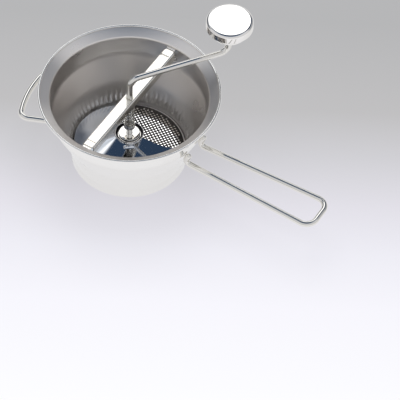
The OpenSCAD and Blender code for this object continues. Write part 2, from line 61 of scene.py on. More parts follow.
forward = Vector((math.cos(LOOK_DOWN) * math.cos(LOOK_ALONG), math.cos(LOOK_DOWN) * math.sin(LOOK_ALONG),
                  -math.sin(LOOK_DOWN)))
level_right = Vector((math.sin(LOOK_ALONG), -math.cos(LOOK_ALONG), 0))
level_up = level_right.cross(forward)
right = math.cos(ROLL) * level_right + math.sin(ROLL) * level_up
up = right.cross(forward)
eye = Vector((0, 0, RIM_HEIGHT)) - RIM_RIGHT * right - RIM_UP * up - CAMERA_DISTANCE * forward
camera = bpy.data.objects.new("camera", bpy.data.cameras.new("camera"))
bpy.context.scene.collection.objects.link(camera)
bpy.context.scene.camera = camera
camera.data.lens = LENS
camera.data.sensor_width = 36
camera.location = eye * MM
camera.rotation_euler = Matrix((right, up, -forward)).transposed().to_euler()
bpy.context.scene.view_settings.view_transform = "Standard"


# ---- Studio ----
# A plain pale sheet under the mill, that darkens a little towards the back, and a tent of light: pale all
# round with a dark blue top and a dark back, where one white box hangs that the flat tops mirror.
def add(tree, kind, values=(), links=(), **settings):
    """Adds a node with its settings, the values of its sockets and the sockets that it is linked from."""
    made = tree.nodes.new(kind)
    for key, value in settings.items():
        setattr(made, key, value)
    for socket, value in dict(values).items():
        made.inputs[socket].default_value = value
    for socket, source in dict(links).items():
        tree.links.new(source, made.inputs[socket])
    return made


def linear(code):
    """Linear colour of an sRGB hex code."""
    parts = [int(code[i:i + 2], 16) / 255 for i in (0, 2, 4)]
    return [p / 12.92 if p <= 0.04045 else ((p + 0.055) / 1.055) ** 2.4 for p in parts] + [1]


def fill_ramp(ramp, stops):
    """Gives a colour ramp its stops, as (place, hex code) pairs."""
    while len(ramp.elements) < len(stops):
        ramp.elements.new(1)
    for element, (place, code) in zip(ramp.elements, stops):
        element.position = place
        element.color = linear(code)


FLOOR_SIZE = 6
FLOOR_NEAR = -0.362
FLOOR_FAR = 0.224
FLOOR_GLOW = 0.85
FLOOR_LIFT = 0.6
WINDOW_R = 0.06
WINDOW_SHINE = 1.1
# A Mix node's colour sockets share their names with others, so they are numbered.
MIX_A, MIX_B, MIX_RESULT = 6, 7, 2

bpy.ops.object.select_all(action="DESELECT")
bpy.ops.mesh.primitive_plane_add(size=FLOOR_SIZE)
floor = bpy.context.object
floor.name = "floor"
sheet = bpy.data.materials.new("studio_sheet")
sheet.use_nodes = True
tree = sheet.node_tree
tree.nodes.clear()
place = add(tree, "ShaderNodeTexCoord").outputs["Object"]
along = add(tree, "ShaderNodeMapping", {"Rotation": (0, 0, math.pi / 2 - LOOK_ALONG)}, {"Vector": place})
depth = add(tree, "ShaderNodeSeparateXYZ", links={"Vector": along.outputs["Vector"]})
share = add(tree, "ShaderNodeMapRange", {"From Min": FLOOR_NEAR, "From Max": FLOOR_FAR},
            {"Value": depth.outputs["Y"]})
shade = add(tree, "ShaderNodeValToRGB", links={"Fac": share.outputs["Result"]})
fill_ramp(shade.color_ramp, [(0, "FBFBFD"), (0.25, "F4F3F9"), (0.38, "EBEAF1"), (0.5, "DFDDE4"),
                             (0.63, "CDCCD0"), (0.75, "BDBCBD"), (1, "B2B2B3")])
rays = add(tree, "ShaderNodeLightPath")
# The sheet is lit from below inside the mill's base, so that the holes of the disc show bright.
reach = add(tree, "ShaderNodeVectorMath", links={0: place}, operation="LENGTH")
window = add(tree, "ShaderNodeMath", {1: WINDOW_R}, {0: reach.outputs["Value"]}, operation="LESS_THAN")
lift = add(tree, "ShaderNodeMath", {1: FLOOR_LIFT}, {0: rays.outputs["Is Glossy Ray"]}, operation="MULTIPLY")
lift = add(tree, "ShaderNodeMath", links={0: window.outputs[0], 1: lift.outputs[0]}, operation="MAXIMUM")
shade = add(tree, "ShaderNodeMix", {MIX_B: (1, 1, 1, 1)},
            {"Factor": lift.outputs[0], MIX_A: shade.outputs["Color"]}, data_type="RGBA").outputs[MIX_RESULT]
# The camera, mirrors and clear pieces see the sheet mostly as a light of its own, and all else as paper.
seen = add(tree, "ShaderNodeMath", links={0: rays.outputs["Is Camera Ray"], 1: rays.outputs["Is Glossy Ray"]},
           operation="MAXIMUM")
seen = add(tree, "ShaderNodeMath", links={0: seen.outputs[0], 1: rays.outputs["Is Transmission Ray"]},
           operation="MAXIMUM")
share = add(tree, "ShaderNodeMath", {1: FLOOR_GLOW}, {0: seen.outputs[0]}, operation="MULTIPLY")
share = add(tree, "ShaderNodeMath", links={0: share.outputs[0], 1: window.outputs[0]}, operation="MAXIMUM")
paint = add(tree, "ShaderNodeBsdfDiffuse", links={"Color": shade})
shine = add(tree, "ShaderNodeMath", {1: WINDOW_SHINE, 2: 1}, {0: window.outputs[0]}, operation="MULTIPLY_ADD")
glow = add(tree, "ShaderNodeEmission", links={"Color": shade, "Strength": shine.outputs[0]})
mixed = add(tree, "ShaderNodeMixShader", links={0: share.outputs[0], 1: paint.outputs[0], 2: glow.outputs[0]})
add(tree, "ShaderNodeOutputMaterial", links={"Surface": mixed.outputs[0]})
floor.data.materials.append(sheet)

world = bpy.data.worlds.new("light_tent")
bpy.context.scene.world = world
world.use_nodes = True
sky_tree = world.node_tree
sky_tree.nodes.clear()
place = add(sky_tree, "ShaderNodeTexCoord").outputs["Generated"]
along = add(sky_tree, "ShaderNodeMapping", {"Rotation": (0, 0, math.pi / 2 - LOOK_ALONG)}, {"Vector": place})
way = add(sky_tree, "ShaderNodeSeparateXYZ", links={"Vector": along.outputs["Vector"]})
# The way that a ray leaves: height is 1 straight up, backward is 1 straight away from the camera, and
# sideways is 1 straight to its right.
height, backward, sideways = way.outputs["Z"], way.outputs["Y"], way.outputs["X"]
room = add(sky_tree, "ShaderNodeMapRange", {"From Min": -1, "From Max": 1}, {"Value": height})
room = add(sky_tree, "ShaderNodeValToRGB", links={"Fac": room.outputs["Result"]})
fill_ramp(room.color_ramp, [(0, "BCBCC0"), (0.5, "C8C8CB"), (0.56, "D4D4D6"), (0.74, "E6E6E7"),
                            (0.935, "D0D3DA"), (0.975, "4A5E78"), (1, "3A4A60")])


def between(source, low, high):
    """Smooth step of a value from 0 at low to 1 at high."""
    return add(sky_tree, "ShaderNodeMapRange", {"From Min": low, "From Max": high}, {"Value": source},
               interpolation_type="SMOOTHSTEP").outputs["Result"]


def where_all(*masks):
    """Product of masks, which is 1 only where all of them are."""
    made = masks[0]
    for mask in masks[1:]:
        made = add(sky_tree, "ShaderNodeMath", links={0: made, 1: mask}, operation="MULTIPLY").outputs[0]
    return made


def band(source, low, low_full, high_full, high):
    """Mask that is 1 between the inner two of four values and 0 outside the outer two."""
    return where_all(between(source, low, low_full), between(source, high, high_full))


def panel(under, mask, code, strength=1):
    """Lays a panel of light over the room where the mask is 1."""
    light = add(sky_tree, "ShaderNodeVectorMath", {0: linear(code)[:3], "Scale": strength}, operation="SCALE")
    return add(sky_tree, "ShaderNodeMix", links={"Factor": mask, MIX_A: under, MIX_B: light.outputs[0]},
               data_type="RGBA").outputs[MIX_RESULT]


BOX_STRENGTH = 1.7
dark_back = where_all(between(backward, 0.2, 0.45), between(height, 0.28, 0.45))
pale_left = where_all(between(backward, 0, 0.3), band(sideways, -0.75, -0.68, -0.32, -0.25),
                      band(height, 0.45, 0.52, 0.74, 0.8))
low_back = where_all(between(backward, 0, 0.25), band(height, -0.3, -0.1, 0.55, 0.75))
grey_left = where_all(low_back, between(sideways, -0.3, -0.5))
grey_right = where_all(low_back, between(sideways, 0.42, 0.6))
strip = where_all(between(backward, 0, 0.3), band(sideways, 0.05, 0.1, 0.33, 0.4),
                  between(height, 0.55, 0.45))
white_box = where_all(between(backward, 0, 0.2), band(sideways, -0.31, -0.27, 0.09, 0.13),
                      band(height, 0.5, 0.55, 0.79, 0.82))
tent = room.outputs["Color"]
for mask, code in ((dark_back, "33445A"), (pale_left, "EEF2F8"), (grey_left, "74777E"),
                   (grey_right, "A6A8AD"), (strip, "E8E8EA")):
    tent = panel(tent, mask, code)
tent = panel(tent, white_box, "FFFFFF", BOX_STRENGTH)
sky = add(sky_tree, "ShaderNodeBackground", links={"Color": tent})
add(sky_tree, "ShaderNodeOutputWorld", links={"Surface": sky.outputs[0]})


def lamp(name, spot, aim, size, watts):
    """A square soft box."""
    made = bpy.data.objects.new(name, bpy.data.lights.new(name, "AREA"))
    bpy.context.scene.collection.objects.link(made)
    made.location = spot
    made.rotation_euler = (Vector(spot) - Vector(aim)).to_track_quat("Z", "Y").to_euler()
    made.data.size = size
    made.data.energy = watts
    made.visible_glossy = False


lamp("top_box", spot=(-0.3, 0.5, 1.6), aim=(0, 0, 0.05), size=1.2, watts=30)


# ---- Bowl ----
# Drawn from one disc of stainless sheet on a press: a deep round body with a concave waist, a sloping flange
# with a rolled rim, and a ring of short grip ribs pressed in above the disc. The inside is satin, the outside
# is polished.
RIM_R = 105
BOWL_T = 1
BEAD_R = 1.6
BEAD_STEPS = 18
RIDGE_R, RIDGE_Z = 92, 100
SHOULDER_R, SHOULDER_Z = 90.6, 75
WAIST_R, WAIST_Z = 75.5, 42
COLLAR_R, COLLAR_H = 68, 14
OUTLET_R = 61
# Radius and steps of each bend of the wall, from the base up.
WALL_BENDS = [(2, 4), (14, 6), (60, 8), (24, 8), (2.5, 4)]
RIBS = 72
RIB_COLUMNS = 8
COLUMNS = RIB_COLUMNS * RIBS
RIB_Z = 18
RIB_OUT = 1.1
# Share of RIB_OUT at each height of a rib, and at each column beside its middle.
RIB_LEVELS = [(17, 0), (RIB_Z, 0.5), (19.2, 1), (22, 1), (25.5, 1), (27, 0.6), (28.2, 0)]
RIB_SIDES = {0: 1, 1: 0.75, 2: 0.2}
# A point of the wall that lies nearer than this to a rib's level gives way to it.
LEVEL_GAP = 0.7
FOOT_H = 3
# Points that lie nearer than this, in metres, become one.
MERGE = 0.00001


def corner(before, point, after, radius, steps):
    """Arc of the given radius in the corner of an outline."""
    into = (point - before).normalized()
    out = (after - point).normalized()
    angle = into.angle(out)
    side = 1 if into.cross(out) > 0 else -1
    middle = point - into * radius * math.tan(angle / 2) + side * radius * Vector((-into.y, into.x))
    start = math.atan2(-side * into.x, side * into.y)
    return [middle + radius * Vector((math.cos(start + side * angle * i / steps),
                                      math.sin(start + side * angle * i / steps)))
            for i in range(steps + 1)]


def rounded(points, bends):
    """Outline whose inner points are rounded: each bend is a radius and its number of steps."""
    points = [Vector(p) for p in points]
    made = [points[0]]
    for i, (radius, steps) in enumerate(bends, start=1):
        made += corner(points[i - 1], points[i], points[i + 1], radius, steps)
    return made + [points[-1]]


def moved(path, distance):
    """Outline moved to its left-hand side."""
    made = []
    for i, point in enumerate(path):
        into = (path[max(i, 1)] - path[max(i, 1) - 1]).normalized()
        out = (path[min(i + 1, len(path) - 1)] - path[min(i, len(path) - 2)]).normalized()
        side = Vector((-into.y - out.y, into.x + out.x)).normalized()
        made.append(point + side * distance / side.dot(Vector((-into.y, into.x))))
    return made


def lathe(name, outline, centre=(0, 0), columns=96, closed=False):
    """Ring by ring, a circle is extruded and scaled along an outline of radius and height."""
    bpy.ops.object.select_all(action="DESELECT")
    middle = (centre[0] * MM, centre[1] * MM, 0)
    radius, height = outline[0]
    bpy.ops.mesh.primitive_circle_add(vertices=columns, radius=radius * MM,
                                      location=(middle[0], middle[1], height * MM))
    piece = bpy.context.object
    piece.name = name
    bpy.ops.object.transform_apply(location=True, rotation=True, scale=True)
    bpy.ops.object.mode_set(mode="EDIT")
    bpy.ops.mesh.select_all(action="SELECT")
    for (r, z), (r_next, z_next) in zip(outline, outline[1:]):
        bpy.ops.mesh.extrude_edges_move(TRANSFORM_OT_translate={"value": (0, 0, (z_next - z) * MM)})
        if r_next == 0:
            bpy.ops.mesh.merge(type="CENTER")
        else:
            bpy.ops.transform.resize(value=(r_next / r, r_next / r, 1), center_override=middle)
    bpy.ops.mesh.select_all(action="SELECT")
    if closed:
        bpy.ops.mesh.remove_doubles(threshold=MERGE)
    bpy.ops.mesh.normals_make_consistent(inside=False)
    bpy.ops.object.mode_set(mode="OBJECT")
    return piece


def only(piece, *others):
    """Selects these pieces and no others, with the first one active."""
    bpy.ops.object.select_all(action="DESELECT")
    for one in (piece, *others):
        one.select_set(True)
    bpy.context.view_layer.objects.active = piece


def modify(piece, kind, **settings):
    """Adds a modifier and applies it."""
    only(piece)
    made = piece.modifiers.new(kind.lower(), kind)
    for key, value in settings.items():
        setattr(made, key, value)
    bpy.ops.object.modifier_apply(modifier=made.name)


def join(piece, *others):
    """Makes the other pieces part of the first one's mesh."""
    only(piece, *others)
    bpy.ops.object.join()


def block(low, high):
    """Box between two corners, with its place in the mesh."""
    low, high = Vector(low) * MM, Vector(high) * MM
    bpy.ops.mesh.primitive_cube_add(size=1, location=(low + high) / 2)
    made = bpy.context.object
    made.scale = high - low
    bpy.ops.object.transform_apply(location=True, rotation=True, scale=True)
    return made


def drum(radius, low, high, centre=(0, 0), columns=32):
    """Upright cylinder between two heights, with its place in the mesh."""
    bpy.ops.mesh.primitive_cylinder_add(vertices=columns, radius=radius * MM, depth=(high - low) * MM,
                                        location=(centre[0] * MM, centre[1] * MM, (low + high) / 2 * MM))
    bpy.ops.object.transform_apply(location=True, rotation=True, scale=True)
    return bpy.context.object


def carve(piece, *cutters):
    """Cuts other pieces out of a piece."""
    for cutter in cutters:
        modify(piece, "BOOLEAN", operation="DIFFERENCE", object=cutter, solver="EXACT")
        bpy.data.objects.remove(cutter)


def pick(piece, kind, wanted):
    """Selects only the vertices, edges or faces that the test picks."""
    bpy.ops.mesh.select_mode(type={"verts": "VERT", "edges": "EDGE", "faces": "FACE"}[kind])
    bpy.ops.mesh.select_all(action="DESELECT")
    mesh = bmesh.from_edit_mesh(piece.data)
    for part in getattr(mesh, kind):
        if wanted(part):
            part.select_set(True)
    bmesh.update_edit_mesh(piece.data)


def smooth(piece, degrees=35):
    """Smooth shading, apart from the edges that are sharper than the angle."""
    only(piece)
    bpy.ops.object.shade_smooth_by_angle(angle=math.radians(degrees))


def finish(name, code, roughness, metallic=1):
    """Plain surface of one colour, which is bare metal unless it is said not to be."""
    made = bpy.data.materials.new(name)
    made.use_nodes = True
    shader = made.node_tree.nodes["Principled BSDF"]
    shader.inputs["Base Color"].default_value = linear(code)
    shader.inputs["Metallic"].default_value = metallic
    shader.inputs["Roughness"].default_value = roughness
    return made


def uneven(material, scale, low, high):
    """Lets the roughness of a material wander between two values, as gloss does on handled metal."""
    tree = material.node_tree
    place = add(tree, "ShaderNodeTexCoord").outputs["Object"]
    cloud = add(tree, "ShaderNodeTexNoise", {"Scale": scale, "Detail": 2}, {"Vector": place})
    rough = add(tree, "ShaderNodeMapRange", {"To Min": low, "To Max": high}, {"Value": cloud.outputs["Fac"]})
    tree.links.new(rough.outputs["Result"], tree.nodes["Principled BSDF"].inputs["Roughness"])


# The real lines of a ground finish are 0.1 mm apart. They are drawn 1.5 mm apart, so that they show.
LINE_PITCH = 1.5
LINE_DEPTH = 0.04


def ground(material, stretch, strength):
    """Gives a material the lines of its grinding: a noise that is drawn out where the stretch is small."""
    tree = material.node_tree
    place = add(tree, "ShaderNodeTexCoord").outputs["Object"]
    place = add(tree, "ShaderNodeMapping", {"Scale": stretch}, {"Vector": place})
    lines = add(tree, "ShaderNodeTexNoise", {"Scale": 1 / (LINE_PITCH * MM), "Detail": 3},
                {"Vector": place.outputs["Vector"]})
    dents = add(tree, "ShaderNodeBump", {"Strength": strength, "Distance": LINE_DEPTH * MM},
                {"Height": lines.outputs["Fac"]})
    tree.links.new(dents.outputs["Normal"], tree.nodes["Principled BSDF"].inputs["Normal"])


# Satin finish, from a belt held against the bowl as it turns: fine rings of lines that follow the wall round.
satin = finish("satin_stainless", "E8E4E0", 0.3)
tree = satin.node_tree
shader = tree.nodes["Principled BSDF"]
shader.inputs["Anisotropic"].default_value = 0.6
shader.inputs["Anisotropic Rotation"].default_value = 0.25
around = add(tree, "ShaderNodeTangent", direction_type="RADIAL", axis="Z")
tree.links.new(around.outputs[0], shader.inputs["Tangent"])
place = add(tree, "ShaderNodeTexCoord").outputs["Object"]
flat = add(tree, "ShaderNodeSeparateXYZ", links={"Vector": place})
wide = add(tree, "ShaderNodeCombineXYZ", links={"X": flat.outputs["X"], "Y": flat.outputs["Y"]})
wide = add(tree, "ShaderNodeVectorMath", links={0: wide.outputs[0]}, operation="LENGTH")
rings = add(tree, "ShaderNodeCombineXYZ", links={"X": wide.outputs["Value"], "Z": flat.outputs["Z"]})
lines = add(tree, "ShaderNodeTexNoise", {"Scale": 1 / (LINE_PITCH * MM), "Detail": 3},
            {"Vector": rings.outputs[0]})
uneven(satin, 28, 0.24, 0.36)
dents = add(tree, "ShaderNodeBump", {"Strength": 0.25, "Distance": LINE_DEPTH * MM},
            {"Height": lines.outputs["Fac"]})
tree.links.new(dents.outputs["Normal"], shader.inputs["Normal"])

# Mirror finish, from a buffing wheel: no lines, only a faint unevenness in the gloss.
polished = finish("polished_stainless", "F2F1EE", 0.08)
uneven(polished, 45, 0.05, 0.13)

bead = Vector((RIM_R - BEAD_R, RIM_HEIGHT - BEAD_R))
flange = (bead - Vector((RIDGE_R, RIDGE_Z))).normalized()
across = Vector((-flange.y, flange.x))
outside = rounded([(OUTLET_R, 0), (COLLAR_R, 0), (COLLAR_R, COLLAR_H), (WAIST_R, WAIST_Z),
                   (SHOULDER_R, SHOULDER_Z), (RIDGE_R, RIDGE_Z), bead - BOWL_T / 2 * across], WALL_BENDS)
inside = moved(outside, BOWL_T)
bead_gap = math.asin(BOWL_T / 2 / BEAD_R)
bead_start = math.atan2(flange.y, flange.x) + math.pi + bead_gap
outside[-1] = outside[-1] - flange * BEAD_R * math.cos(bead_gap)
inside[-1] = inside[-1] - flange * BEAD_R * math.cos(bead_gap)
bead_step = (math.tau - 2 * bead_gap) / BEAD_STEPS
roll = [bead + BEAD_R * Vector((math.cos(a), math.sin(a))) for a in
        [bead_start + bead_step * i for i in range(1, BEAD_STEPS)]]


def radius_at(path, z):
    """Radius of an outline at height z, above the base's corner."""
    for low, high in zip(path, path[1:]):
        if low.y < z <= high.y:
            return low.x + (high.x - low.x) * (z - low.y) / (high.y - low.y)


levels = [Vector((radius_at(inside, z), z)) for z, _ in RIB_LEVELS]
kept = [p for p in inside if all(abs(p.y - z) > LEVEL_GAP for z, _ in RIB_LEVELS)]
foot = [p for p in kept if p.y < FOOT_H]
wall = sorted([p for p in kept if p.y >= FOOT_H] + levels, key=lambda p: p.y)
bowl = lathe("bowl", outside + roll + (foot + wall)[::-1] + [outside[0]], columns=COLUMNS, closed=True)


def on_rib(spot, level, side):
    """True at a rib's level on the inner wall, so many columns beside the rib's middle."""
    if abs(spot.z - level.y) > 0.01 or abs(spot.xy.length - level.x) > 0.2:
        return False
    column = round(math.atan2(spot.y, spot.x) / math.tau * COLUMNS) % RIB_COLUMNS
    return min(column, RIB_COLUMNS - column) == side


only(bowl)
bpy.ops.object.mode_set(mode="EDIT")
for level, (z, height_share) in zip(levels, RIB_LEVELS):
    for side, side_share in RIB_SIDES.items():
        if height_share > 0:
            pick(bowl, "verts", lambda v: on_rib(v.co / MM, level, side))
            pull = 1 - RIB_OUT * height_share * side_share / level.x
            bpy.ops.transform.resize(value=(pull, pull, 1), center_override=(0, 0, 0))
bpy.ops.object.mode_set(mode="OBJECT")

# A slot in the wall for each tab of the crossbar, and below it a ledge that the end of the bar rests on.
SEAT_GAP = 0.2
BAR_Z, BAR_H, BAR_GAP = 98, 10.5, 4
BAR_HALF = SHOULDER_R - BOWL_T - BAR_GAP
TAB_X, TAB_W = -0.7, 10
SLOT_LOW, SLOT_TOP = 95.2, 98.2
LEDGE_TOP = BAR_Z - BAR_H - SEAT_GAP
LEDGE_H, LEDGE_LIP, LEDGE_W, LEDGE_REACH = 7, 1.5, 15, 2
LEDGE_ROUND = 0.5
# How far a cutter reaches past what it cuts.
PAST = 5

tab_left, tab_right = TAB_X - TAB_W / 2, TAB_X + TAB_W / 2
carve(bowl, *[block((tab_left, side * BAR_HALF, SLOT_LOW), (tab_right, side * (RIM_R + PAST), SLOT_TOP))
              for side in (-1, 1)])
for side in (-1, 1):
    ledge = block((-LEDGE_W / 2, -1, -1), (LEDGE_W / 2, 1, 1))
    for vertex in ledge.data.vertices:
        top, outer = vertex.co.z > 0, vertex.co.y * side > 0
        z = LEDGE_TOP - (0 if top else LEDGE_H if outer else LEDGE_LIP)
        y = radius_at(outside, z) - BOWL_T / 2 if outer else BAR_HALF - LEDGE_REACH
        vertex.co = Vector((vertex.co.x, side * y * MM, z * MM))
    modify(ledge, "BEVEL", width=LEDGE_ROUND * MM, segments=3)
    join(bowl, ledge)
bowl.data.materials.clear()
bowl.data.materials.append(satin)
bowl.data.materials.append(polished)
# The outside, the underside and the rolled rim are polished.
for face in bowl.data.polygons:
    on_bead = (Vector((face.center.xy.length, face.center.z)) / MM - bead).length < BEAD_R + 0.05
    if on_bead or face.normal.xy.dot(face.center.xy.normalized()) > 0.05 or face.normal.z < -0.7:
        face.material_index = 1
smooth(bowl, 50)
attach(bowl, "bowl")
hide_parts("bowl_shell")


# ---- Wires ----
# The long handle and the short support loop are bent from round stainless wire and buffed to a mirror. Each
# end is turned up along the wall and welded to it.
WIRE_D = 7
HANDLE_Z = 54
WIRE_SIDES = 32
SPIN_STEP = 5
# Angles at which the rings of a domed tip stand on its ball, from the point down to the wire.
DOME = (75, 50, 25, 0)


def wire(name, path, bends, size):
    """Round rod: its end is extruded along each straight, spun round each bend and domed at both tips."""
    path = [Vector(p) for p in path]
    heading = (path[1] - path[0]).normalized()
    here = path[0]
    tips = [(size / 2 * math.sin(math.radians(a)), size / 2 * math.cos(math.radians(a))) for a in DOME]
    bpy.ops.object.select_all(action="DESELECT")
    bpy.ops.mesh.primitive_circle_add(vertices=WIRE_SIDES, radius=tips[0][1] * MM, fill_type="NGON",
                                      location=(here - heading * tips[0][0]) * MM,
                                      rotation=heading.to_track_quat("Z", "Y").to_euler())
    piece = bpy.context.object
    piece.name = name
    bpy.ops.object.transform_apply(location=True, rotation=True, scale=True)
    bpy.ops.object.mode_set(mode="EDIT")
    bpy.ops.mesh.select_mode(type="EDGE")
    bpy.ops.mesh.select_all(action="SELECT")
    for (back, radius), (back_next, radius_next) in zip(tips, tips[1:]):
        bpy.ops.mesh.extrude_edges_move(TRANSFORM_OT_translate={"value": heading * (back - back_next) * MM})
        bpy.ops.transform.resize(value=(radius_next / radius,) * 3,
                                 center_override=(here - heading * back_next) * MM)
    for i in range(1, len(path)):
        heading = (path[i] - path[i - 1]).normalized()
        if i == len(path) - 1:
            bpy.ops.mesh.extrude_edges_move(TRANSFORM_OT_translate={"value": (path[i] - here) * MM})
            break
        onward = (path[i + 1] - path[i]).normalized()
        angle = heading.angle(onward)
        reach = bends[i - 1] * math.tan(angle / 2)
        stop = path[i] - heading * reach
        bpy.ops.mesh.extrude_edges_move(TRANSFORM_OT_translate={"value": (stop - here) * MM})
        axis = heading.cross(onward).normalized()
        middle = stop + axis.cross(heading) * bends[i - 1]
        bpy.ops.mesh.spin(steps=max(4, math.ceil(math.degrees(angle) / SPIN_STEP)), angle=angle,
                          center=middle * MM, axis=-axis)
        here = path[i] + onward * reach
    for (back, radius), (back_next, radius_next) in zip(tips[::-1], tips[-2::-1]):
        bpy.ops.mesh.extrude_edges_move(TRANSFORM_OT_translate={"value": heading * (back_next - back) * MM})
        bpy.ops.transform.resize(value=(radius_next / radius,) * 3,
                                 center_override=(path[-1] + heading * back_next) * MM)
    bpy.ops.mesh.edge_face_add()
    bpy.ops.mesh.select_all(action="SELECT")
    bpy.ops.mesh.remove_doubles(threshold=MERGE)
    bpy.ops.mesh.normals_make_consistent(inside=False)
    bpy.ops.object.mode_set(mode="OBJECT")
    smooth(piece)
    return piece


# Bright drawn wire, buffed: a mirror with a trace of drawing lines.
bright = finish("buffed_wire", "E4E2DD", 0.06)
uneven(bright, 60, 0.04, 0.1)
ground(bright, (0.05, 1, 1), 0.05)

STUB_L = 14
STUB_BEND = 6
WELD_GAP = 0.6
HANDLE_ROOT, HANDLE_END = 30.4, 42.4
HANDLE_REACH = 257
HANDLE_BEND = 13
LOOP_ROOT, LOOP_W = 90, 123
LOOP_REACH = 130
LOOP_ARC = math.radians(25)
LOOP_BEND = 10


def stub(y, side):
    """Top of a wire end on the wall and the corner where the wire leaves it."""
    off = WIRE_D / 2 + SEAT_GAP
    angle = math.asin(y / (radius_at(outside, HANDLE_Z) + off))
    points = []
    for z in (HANDLE_Z + STUB_L, HANDLE_Z):
        r = radius_at(outside, z) + off + WELD_GAP
        points.append(Vector((side * r * math.cos(angle), r * math.sin(angle), z)))
    return points


end_x = HANDLE_REACH - WIRE_D / 2
far, near = stub(HANDLE_ROOT / 2, 1), stub(-HANDLE_ROOT / 2, 1)
corners = [(end_x, HANDLE_END / 2, HANDLE_Z), (end_x, -HANDLE_END / 2, HANDLE_Z)]
handle = wire("long_handle_wire", far + corners + near[::-1],
              [STUB_BEND, HANDLE_BEND, HANDLE_BEND, STUB_BEND], WIRE_D)
handle.data.materials.append(bright)
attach(handle, "bowl")
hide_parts("long_handle")

arc_r = LOOP_REACH - WIRE_D / 2
apex = Vector((-arc_r / math.cos(LOOP_ARC), 0, HANDLE_Z))
shift = LOOP_W / 2 * Vector((math.tan(LOOP_ARC), 1, 0))
far, near = stub(LOOP_ROOT / 2, -1), stub(-LOOP_ROOT / 2, -1)
corners = [apex + Vector((shift.x, -shift.y, 0)), apex, apex + shift]
loop = wire("support_loop_wire", near + corners + far[::-1],
            [STUB_BEND, LOOP_BEND, arc_r, LOOP_BEND, STUB_BEND], WIRE_D)
loop.data.materials.append(bright)
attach(loop, "bowl")
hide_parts("support_loop")


# ---- Disc ----
# A perforated plate of ground stainless sheet, in a pressed ring with a rounded shoulder and a skirt. The
# plate and the bush in its middle keep the frame's meshes.
SIEVE_Z = 12.5
PLATE_R, SIEVE_R = 64.4, 66.3
PLATE_T, FIT_GAP = 0.8, 0.05
SKIRT_T, SKIRT_LOW = 0.9, 1.2
REBATE_W, REBATE_Z = 1.6, SIEVE_Z - PLATE_T - FIT_GAP

# Sheet that is ground one way and then punched, with long lines. Its dull dark grey is painted shade: the
# steel is made darker than it is, to stand for the shade down in the bowl.
shaded_plate = finish("punched_sheet_painted_shade", "54504C", 0.3)
uneven(shaded_plate, 70, 0.22, 0.38)
ground(shaded_plate, (0.04, 1, 1), 0.3)
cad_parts["sieve_plate"].material_slots[0].material = shaded_plate
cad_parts["sieve_bush"].material_slots[0].material = satin

rebate_r, skirt_r, under_z = PLATE_R - REBATE_W, SIEVE_R - SKIRT_T, REBATE_Z - SKIRT_T
outline = rounded([(rebate_r, under_z), (skirt_r, under_z), (skirt_r, SKIRT_LOW), (SIEVE_R, SKIRT_LOW),
                   (SIEVE_R, SIEVE_Z), (PLATE_R, SIEVE_Z), (PLATE_R, REBATE_Z), (rebate_r, REBATE_Z),
                   (rebate_r, under_z)],
                  [(0.6, 3), (0.2, 1), (0.2, 1), (1.7, 7), (0.15, 1), (0.1, 1), (0.1, 1)])
sieve_frame = lathe("sieve_frame", outline, columns=144, closed=True)
sieve_frame.data.materials.append(satin)
smooth(sieve_frame, 50)
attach(sieve_frame, "sieve")
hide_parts("sieve_ring")


# ---- Crossbar ----
# A strip folded into a channel that opens downwards, buffed on top. A riveted tab at one end and a sprung one
# at the other hold it in the wall, and the shaft turns in a bush in its middle.
BAR_W, BAR_T = 15, 1.2
BAR_BEND, BAR_ROUND = 2, 0.2
NOTCH_HOOK, NOTCH_LATCH = 8.2, 10.6
BUSH_R = 4.95
LUG_W, LUG_H, LUG_Y = 6, 6, 35.6


def middle_of(part):
    """Middle of an edge or a face, in millimetres."""
    return sum((v.co for v in part.verts), Vector()) / len(part.verts) / MM


bar = block((-BAR_W / 2, -BAR_HALF, BAR_Z - BAR_H), (BAR_W / 2, BAR_HALF, BAR_Z))
bar.name = "crossbar"
bpy.ops.object.mode_set(mode="EDIT")
pick(bar, "edges", lambda e: abs(middle_of(e).z - BAR_Z) < 0.01 and abs(middle_of(e).y) < 0.01)
bpy.ops.mesh.bevel(offset=BAR_BEND * MM, segments=5, affect="EDGES")
pick(bar, "faces", lambda f: abs(f.normal.y) > 0.9 or f.normal.z < -0.9)
bpy.ops.mesh.delete(type="FACE")
hook_end, latch_end = NOTCH_HOOK - BAR_HALF, BAR_HALF - NOTCH_LATCH
for spot, way in (((tab_left - SEAT_GAP, 0, 0), (1, 0, 0)), ((tab_right + SEAT_GAP, 0, 0), (1, 0, 0)),
                  ((0, hook_end, 0), (0, 1, 0)), ((0, latch_end, 0), (0, 1, 0))):
    bpy.ops.mesh.select_all(action="SELECT")
    bpy.ops.mesh.bisect(plane_co=Vector(spot) * MM, plane_no=way)
pick(bar, "faces", lambda f: f.normal.z > 0.9 and abs(middle_of(f).x - TAB_X) < TAB_W / 2
     and not hook_end < middle_of(f).y < latch_end)
bpy.ops.mesh.delete(type="FACE")
bpy.ops.mesh.select_all(action="SELECT")
bpy.ops.mesh.normals_make_consistent(inside=False)
bpy.ops.object.mode_set(mode="OBJECT")
modify(bar, "SOLIDIFY", thickness=BAR_T * MM, offset=-1, use_even_offset=True)
carve(bar, drum(BUSH_R, BAR_Z - PAST, BAR_Z + PAST))
lug_top = BAR_Z - BAR_T
join(bar, block((TAB_X - LUG_W / 2, LUG_Y - BAR_T, lug_top - LUG_H), (TAB_X + LUG_W / 2, LUG_Y, lug_top)))
modify(bar, "BEVEL", width=BAR_ROUND * MM, segments=2, limit_method="ANGLE", angle_limit=math.radians(50))
smooth(bar)
modify(bar, "WEIGHTED_NORMAL", keep_sharp=True, weight=100)
